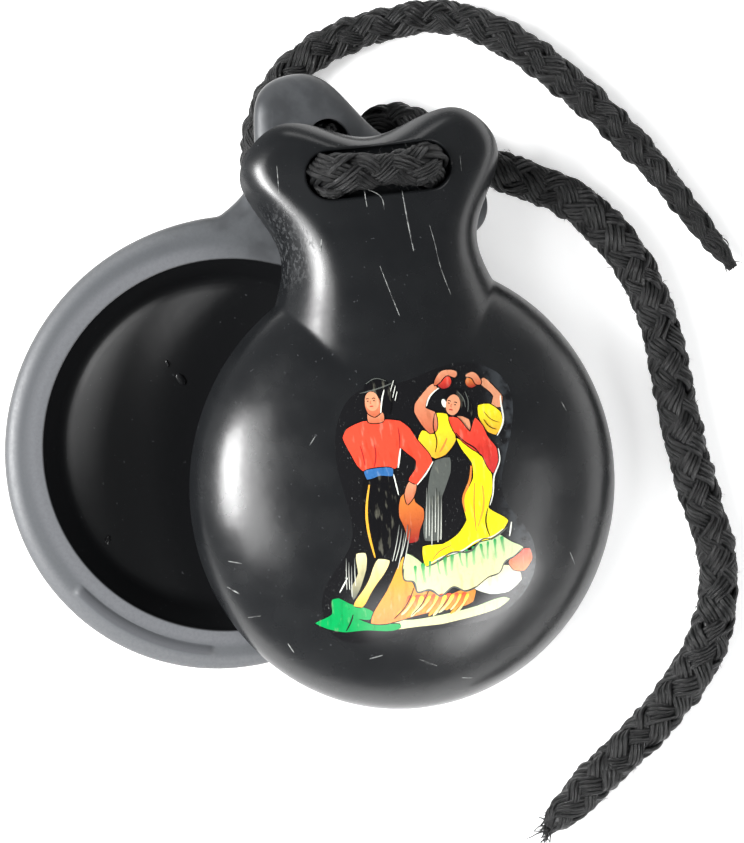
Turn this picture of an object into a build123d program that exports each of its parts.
"""A castanet: two hollow shells laced ear to ear with one braided cord, lying part open on a table.

The shell is drawn once, in its own frame: u across, v from the bowl's centre towards the ears, z out of
the dome, with the rim at z = 0. Both shells are that one moulding. The front shell lies dome up on the rear
shell, whose hollow looks up, and the pair leans to the right with the cord's tails under its ears.
"""

import os
from math import atan2, cos, degrees, pi, radians, sin, tan

from build123d import *

# --- the moulded shell ---
BOWL_RADIUS = 30.0
BOWL_STRETCH = 1.033  # the bowl is this much longer than it is wide
SHELL_DEPTH = 13.5
RIM_ROUND = 1.6
HOLLOW_RADIUS = 24.9
HOLLOW_FLOOR_RADIUS = 22.3
HOLLOW_WALL = 4.2  # height of the hollow's steep wall
HOLLOW_DEPTH = 9.0
NECK_BASE = (15.0, 9.0)  # the neck's block starts here, inside the bowl
NECK_ROOT = (15.9, 25.4)  # where the neck's outline leaves the bowl
NECK_WAIST = (13.8, 33.0)
EAR_SIDE = (18.3, 45.3)
EAR_TOP = (12.8, 51.1)
EAR_NOTCH = (0.0, 47.7)
CREST_APEX = (14.0, 12.0)  # v and z where the neck's crest meets the dome
CREST_AT_HOLES = 7.4
CROWN_HALF_WIDTH = 21.0
NECK_ROUND = 2.0
RELIEF_ANGLE = 17.0  # slope of the ears' inner faces, which lets the shells rock open

# --- lacing ---
HOLE_LINE = 42.6  # v of both cord holes
HOLE_SPACING = 13.2
HOLE_RADIUS = 3.15
GROOVE_DEPTH = 2.3
CORD_DIAMETER = 5.8
BRIDGE_DIAMETER = 4.6  # the cord is drawn thin where it is pulled tight across the front
BRIDGE_BEND = 3.6
LINK_DIAMETER = 5.2
LINK_BOTTOM = 0.3
LINK_TOP = 1.4
BRIDGE_FOOT = 2.4

# --- striking bead at the tip of each rim ---
BEAD_RADIUS = 27.9
BEAD_WIDTH = 1.6
BEAD_HEIGHT = 0.4
BEAD_HALF_ARC = 21.5

# --- printed transfer ---
FILM_THICKNESS = 0.12
FILM_OUTLINE = [
    (-15.0, -11.0),
    (-11.0, -5.0),
    (-11.5, 6.5),
    (-7.5, 14.5),
    (-2.0, 15.0),
    (6.5, 16.5),
    (12.5, 13.5),
    (12.0, 6.0),
    (10.0, -1.5),
    (13.5, -7.5),
    (13.5, -13.0),
    (9.5, -17.0),
    (-3.0, -18.0),
    (-14.0, -17.0),
]

# --- how the pair lies ---
SWING_POINT = (2.7, 41.6)  # the swing axis, in the shell's own u and v
SWING_PLACE = (9.335, 28.853, 13.102)  # the same point between the rims, in the part's frame
PLANE_GAP = 0.9  # between the two rims
FRONT_TURN = 7.8
REAR_TURN = -26.1
LEAN_RIGHT = 12.8
EARS_UP = 3.9

# --- the cord's tails, as they lie: corners of each route, from inside the rear shell's holes ---
TAIL_UPPER = [
    (1.2, 34.0, 13.2),
    (-0.3, 34.4, 5.5),
    (1.6, 29.4, 3.1),
    (-2.2, 25.1, 2.9),
    (-8.0, 27.2, 2.9),
    (-9.6, 34.4, 2.9),
    (-7.3, 42.4, 2.9),
    (-1.0, 48.8, 2.9),
    (7.6, 52.1, 2.9),
    (16.5, 53.8, 2.9),
    (25.4, 51.1, 2.9),
    (34.0, 44.8, 2.9),
    (42.6, 37.2, 2.9),
    (50.4, 28.1, 2.9),
    (58.2, 17.8, 2.9),
]
TAIL_LOWER = [
    (12.8, 28.2, 10.4),
    (11.9, 28.7, 3.7),
    (7.9, 30.2, 2.9),
    (5.6, 35.4, 2.9),
    (9.4, 39.4, 2.9),
    (17.0, 35.8, 2.9),
    (25.2, 31.4, 2.9),
    (34.6, 28.4, 2.9),
    (42.6, 21.4, 2.9),
    (47.9, 10.8, 2.9),
    (49.9, -0.4, 2.9),
    (52.4, -11.2, 2.9),
    (56.6, -23.4, 2.9),
    (55.2, -35.2, 2.9),
    (48.4, -45.2, 2.9),
    (39.2, -54.0, 2.9),
    (32.2, -61.2, 2.9),
]

TALL = 60.0


def half_space(shape):
    """The part of a shape above the rim plane."""
    return shape & Pos(0, 0, TALL / 2) * Box(4 * TALL, 4 * TALL, TALL)


def dome(extra=0.0):
    """The half ellipsoid of the bowl's outside, grown outwards by extra."""
    radius = BOWL_RADIUS + extra
    return half_space(scale(Sphere(1), by=(radius, radius * BOWL_STRETCH, SHELL_DEPTH + extra)))


def neck_block():
    """The neck and ears: their outline drawn up, under a crown that falls from the bowl to the ears."""
    right_points = [NECK_ROOT, NECK_WAIST, EAR_SIDE, EAR_TOP, EAR_NOTCH]
    left_points = [(-u, v) for u, v in right_points]
    base_left = (-NECK_BASE[0], NECK_BASE[1])
    edges = [
        Line(NECK_BASE, NECK_ROOT),
        Spline(*right_points, *reversed(left_points[:-1])),
        Line(left_points[0], base_left),
        Line(base_left, NECK_BASE),
    ]
    block = extrude(make_face(edges), TALL)
    fall = (CREST_APEX[1] - CREST_AT_HOLES) / (HOLE_LINE - CREST_APEX[0])
    section = Plane.XZ * Ellipse(CROWN_HALF_WIDTH, CREST_APEX[1])
    crown = Pos(0, CREST_APEX[0], 0) * extrude(section, 2 * TALL, both=True)
    lean = degrees(atan2(fall, 1))
    tilted = Pos(0, CREST_APEX[0], 0) * Rot(X=-lean) * Pos(0, -CREST_APEX[0], 0) * crown
    ridge = half_space(block & tilted)
    top_edge = [edge for edge in ridge.edges() if edge.center().Y > NECK_ROOT[1] and edge.center().Z > 1]
    return fillet(top_edge, NECK_ROUND)


def hollow():
    """The resonating cup: a steep wall and a shallow concave floor."""
    wall_height = HOLLOW_WALL + 1
    flare = (HOLLOW_RADIUS - HOLLOW_FLOOR_RADIUS) / HOLLOW_WALL
    wall = Pos(0, 0, wall_height / 2 - 1) * Cone(HOLLOW_RADIUS + flare, HOLLOW_FLOOR_RADIUS, wall_height)
    rise = HOLLOW_DEPTH - HOLLOW_WALL
    ball_radius = (HOLLOW_FLOOR_RADIUS**2 + rise**2) / (2 * rise)
    ball = Pos(0, 0, HOLLOW_DEPTH - ball_radius) * Sphere(ball_radius)
    cap = ball & Pos(0, 0, HOLLOW_WALL + TALL / 2) * Box(4 * TALL, 4 * TALL, TALL)
    return wall + cap


def relief():
    """The wedge taken off the ears' inner faces, from the hole line outwards."""
    wedge = Pos(0, HOLE_LINE + TALL / 2, -TALL / 2) * Box(2 * TALL, TALL, TALL)
    return wedge.rotate(Axis((0, HOLE_LINE, 0), (1, 0, 0)), RELIEF_ANGLE)


def cord_holes():
    """Both cord holes."""
    bores = [Pos(side * HOLE_SPACING / 2, HOLE_LINE, 0) * Cylinder(HOLE_RADIUS, TALL) for side in (-1, 1)]
    return bores[0] + bores[1]


def groove():
    """The recess that joins the two holes on the outside."""
    floor = CREST_AT_HOLES - GROOVE_DEPTH
    slot = extrude(Pos(0, HOLE_LINE) * SlotCenterToCenter(HOLE_SPACING, 2 * HOLE_RADIUS), TALL)
    return Pos(0, 0, floor) * slot


def bead():
    """The striking bead, an arc on the rim about the tip."""
    ring = Circle(BEAD_RADIUS + BEAD_WIDTH / 2) - Circle(BEAD_RADIUS - BEAD_WIDTH / 2)
    across = 2 * BEAD_RADIUS * sin(radians(BEAD_HALF_ARC))
    down = 2 * BEAD_RADIUS * cos(radians(BEAD_HALF_ARC))
    wedge = make_face(Polyline((0, 0), (-across, -down), (across, -down), (0, 0)))
    return Pos(0, 0, -BEAD_HEIGHT) * extrude(ring & wedge, 2 * BEAD_HEIGHT)


def shell():
    """One moulded shell."""
    body = dome() + neck_block()
    foot = [edge for edge in body.edges() if edge.bounding_box().max.Z < 0.05]
    body = fillet(foot, RIM_ROUND)
    return body - hollow() - relief() - cord_holes() - groove() + bead()


def film():
    """The transfer's film on the dome."""
    outline = make_face(Spline(*FILM_OUTLINE, periodic=True))
    column = Pos(0, 0, SHELL_DEPTH / 2) * extrude(outline, TALL)
    return ((dome(FILM_THICKNESS) - dome()) & column) - neck_block()


def tube(points, diameter):
    """A cord along straight runs joined by arcs, each as large as its two runs allow."""
    corners = [Vector(*point) for point in points]
    radii = []
    for before, corner, after in zip(corners, corners[1:], corners[2:]):
        turn = radians((corner - before).get_angle(after - corner))
        shorter = min((corner - before).length, (after - corner).length)
        radii.append(0.45 * shorter / tan(turn / 2))
    path = FilletPolyline(*corners, radius=radii)
    start = Plane(origin=path @ 0, z_dir=path % 0)
    solid = sweep(start * Circle(diameter / 2), path)
    ideal = pi * diameter**2 / 4 * path.length
    rounded = [round(radius, 1) for radius in radii]
    print(f"cord {path.length:.1f} mm long, volume {solid.volume:.0f} of {ideal:.0f}, radii {rounded}")
    return solid


def cord_bridge():
    """The cord where it comes up through the front shell's holes and crosses the groove."""
    half = HOLE_SPACING / 2
    top = CREST_AT_HOLES - GROOVE_DEPTH + BRIDGE_DIAMETER / 2 + 0.3
    foot_points = [(-half, HOLE_LINE, BRIDGE_FOOT), (-half, HOLE_LINE, top)]
    head_points = [(half, HOLE_LINE, top), (half, HOLE_LINE, BRIDGE_FOOT)]
    path = FilletPolyline(*foot_points, *head_points, radius=BRIDGE_BEND)
    section = Pos(-half, HOLE_LINE, BRIDGE_FOOT) * Circle(BRIDGE_DIAMETER / 2)
    return sweep(section, path)


def cord_links():
    """The two short lengths of cord in the front shell's holes, about which it rocks."""
    height = LINK_TOP - LINK_BOTTOM
    middle = (LINK_TOP + LINK_BOTTOM) / 2
    stub = Cylinder(LINK_DIAMETER / 2, height)
    return [Pos(side * HOLE_SPACING / 2, HOLE_LINE, middle) * stub for side in (-1, 1)]


STACK = Pos(*SWING_PLACE) * Rot(Y=LEAN_RIGHT) * Rot(X=EARS_UP)
TO_SWING_POINT = Pos(-SWING_POINT[0], -SWING_POINT[1], 0)
FRONT = STACK * Rot(Z=FRONT_TURN) * Pos(0, 0, PLANE_GAP / 2) * TO_SWING_POINT
REAR = STACK * Rot(Z=REAR_TURN) * Pos(0, 0, -PLANE_GAP / 2) * TO_SWING_POINT * Rot(Y=180)

if __name__ == "__main__":
    moulding = shell()
    nodes = {
        "front_shell": FRONT * moulding,
        "rear_shell": REAR * moulding,
        "transfer_film": FRONT * film(),
        "cord_bridge": FRONT * cord_bridge(),
        "cord_link": Compound(children=[FRONT * stub for stub in cord_links()]),
        "cord_tail_upper": tube(TAIL_UPPER, CORD_DIAMETER),
        "cord_tail_lower": tube(TAIL_LOWER, CORD_DIAMETER),
    }
    os.makedirs("parts", exist_ok=True)
    for name, node in nodes.items():
        export_step(node, f"parts/{name}.step")
        print(f"{name}: {node.volume:.0f} cubic mm")
